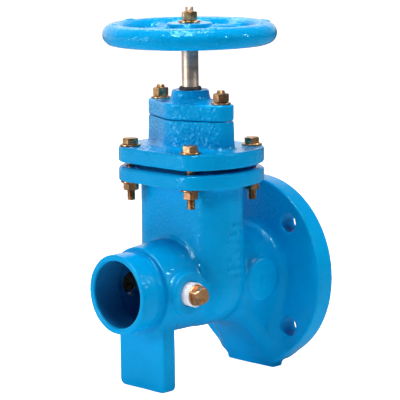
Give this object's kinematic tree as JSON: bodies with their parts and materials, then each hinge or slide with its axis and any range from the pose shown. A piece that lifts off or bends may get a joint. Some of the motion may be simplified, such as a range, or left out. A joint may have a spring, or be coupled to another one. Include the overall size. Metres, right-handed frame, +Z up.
{
  "type": "gate valve",
  "caption": "Hand-operated gate valve with a non-rising stem, bolted bonnet and gland, rubber-faced wedge, a flanged end and a grooved end.",
  "frame": {"origin": "on the stem axis, at the level of the two feet: the bottom centre of the bounding box", "axes": "+X along the pipe towards the flanged end, +Z up the stem towards the handwheel, +Y completes a right-handed frame"},
  "size_m": [0.1906, 0.1778, 0.3461],
  "materials": {
    "blue_epoxy": "gloss fusion-bonded epoxy over ductile iron",
    "yellow_zinc": "yellow-passivated zinc plate",
    "stainless_steel": "turned, satin",
    "black_rubber": "matte",
    "white_polymer": "satin",
    "brass": "cast and machined, slightly tarnished",
    "white_tape": "thread-seal tape",
    "ductile_iron": "as cast"
  },
  "bodies": {
    "valve_body": {"body": "blue_epoxy", "bonnet": "blue_epoxy", "gland_plate": "blue_epoxy", "bonnet_gasket": "black_rubber", "gland_o_ring": "black_rubber", "stem_o_ring_1": "black_rubber", "stem_o_ring_2": "black_rubber", "wiper_ring": "black_rubber", "stem_bushing": "white_polymer", "thrust_washer_lower": "white_polymer", "thrust_washer_upper": "white_polymer", "gland_stud_1": "yellow_zinc", "gland_washer_1": "yellow_zinc", "gland_nut_1": "yellow_zinc", "gland_stud_2": "yellow_zinc", "gland_washer_2": "yellow_zinc", "gland_nut_2": "yellow_zinc", "bonnet_bolt_1": "yellow_zinc", "bonnet_bolt_washer_1": "yellow_zinc", "bonnet_nut_washer_1": "yellow_zinc", "bonnet_nut_1": "yellow_zinc", "bonnet_bolt_2": "yellow_zinc", "bonnet_bolt_washer_2": "yellow_zinc", "bonnet_nut_washer_2": "yellow_zinc", "bonnet_nut_2": "yellow_zinc", "bonnet_bolt_3": "yellow_zinc", "bonnet_bolt_washer_3": "yellow_zinc", "bonnet_nut_washer_3": "yellow_zinc", "bonnet_nut_3": "yellow_zinc", "bonnet_bolt_4": "yellow_zinc", "bonnet_bolt_washer_4": "yellow_zinc", "bonnet_nut_washer_4": "yellow_zinc", "bonnet_nut_4": "yellow_zinc", "drain_plug_1": "brass", "drain_plug_2": "brass", "thread_tape_1": "white_tape", "thread_tape_2": "white_tape"},
    "stem": {"stem": "stainless_steel", "handwheel": "blue_epoxy", "handwheel_washer": "yellow_zinc", "handwheel_nut": "yellow_zinc"},
    "wedge": {"wedge_core": "ductile_iron", "wedge_rubber": "black_rubber", "wedge_nut": "brass", "wedge_guide_1": "white_polymer", "wedge_guide_2": "white_polymer"}
  },
  "joints": [
    {"name": "stem_turn", "type": "hinge", "parent": "valve_body", "child": "stem", "pos_m": [0, 0, 0.24], "axis": [0, 0, 1], "range_deg": [0, 3780]},
    {"name": "wedge_slide", "type": "slide", "parent": "valve_body", "child": "wedge", "axis": [0, 0, 1], "range_m": [0, 0.0667]}
  ],
  "couplings": [
    {"joint": "wedge_slide", "follows": "stem_turn", "m_per_rad": 0.0010106}
  ]
}
